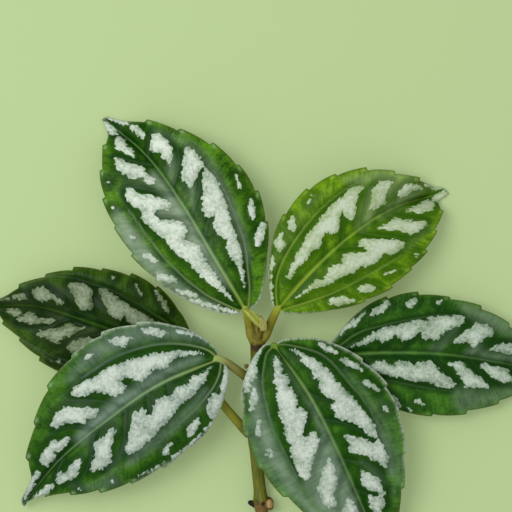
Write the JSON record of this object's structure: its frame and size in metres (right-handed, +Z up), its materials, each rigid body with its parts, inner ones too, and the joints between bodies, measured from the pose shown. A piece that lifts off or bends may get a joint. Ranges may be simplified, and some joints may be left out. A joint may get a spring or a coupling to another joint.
{
  "type": "cut shoot of an aluminum plant",
  "caption": "Leafy cut shoot with opposite pairs of toothed, quilted oval leaves marked in silver, young growth at the top and a slim jointed stem, lying on its back.",
  "frame": {"origin": "middle of the whole shoot's box, on the surface that it lies on", "axes": "+Z up, away from the surface; +X across the spread of the leaves; the cut end of the stem points to -Y"},
  "size_m": [0.1733, 0.1328, 0.0159],
  "materials": {
    "leaf_blade": "glossy quilted leaf, deep green with silver marks",
    "young_leaf_blade": "glossy young leaf, yellow green with silver marks",
    "green_stem": "smooth olive green stem, semi gloss",
    "bud_brown": "matt brown bud and scale",
    "dry_stub": "matt dried black"
  },
  "bodies": {
    "root": {"stem": "green_stem", "leaf_top_left": "leaf_blade", "leaf_top_right": "young_leaf_blade", "leaf_front_left": "leaf_blade", "leaf_front_right": "leaf_blade", "leaf_back_left": "leaf_blade", "leaf_back_right": "leaf_blade", "young_leaf": "young_leaf_blade", "bud_scale": "bud_brown", "end_bud": "bud_brown", "side_bud": "bud_brown", "old_bud": "bud_brown", "old_stub": "dry_stub"}
  },
  "joints": []
}
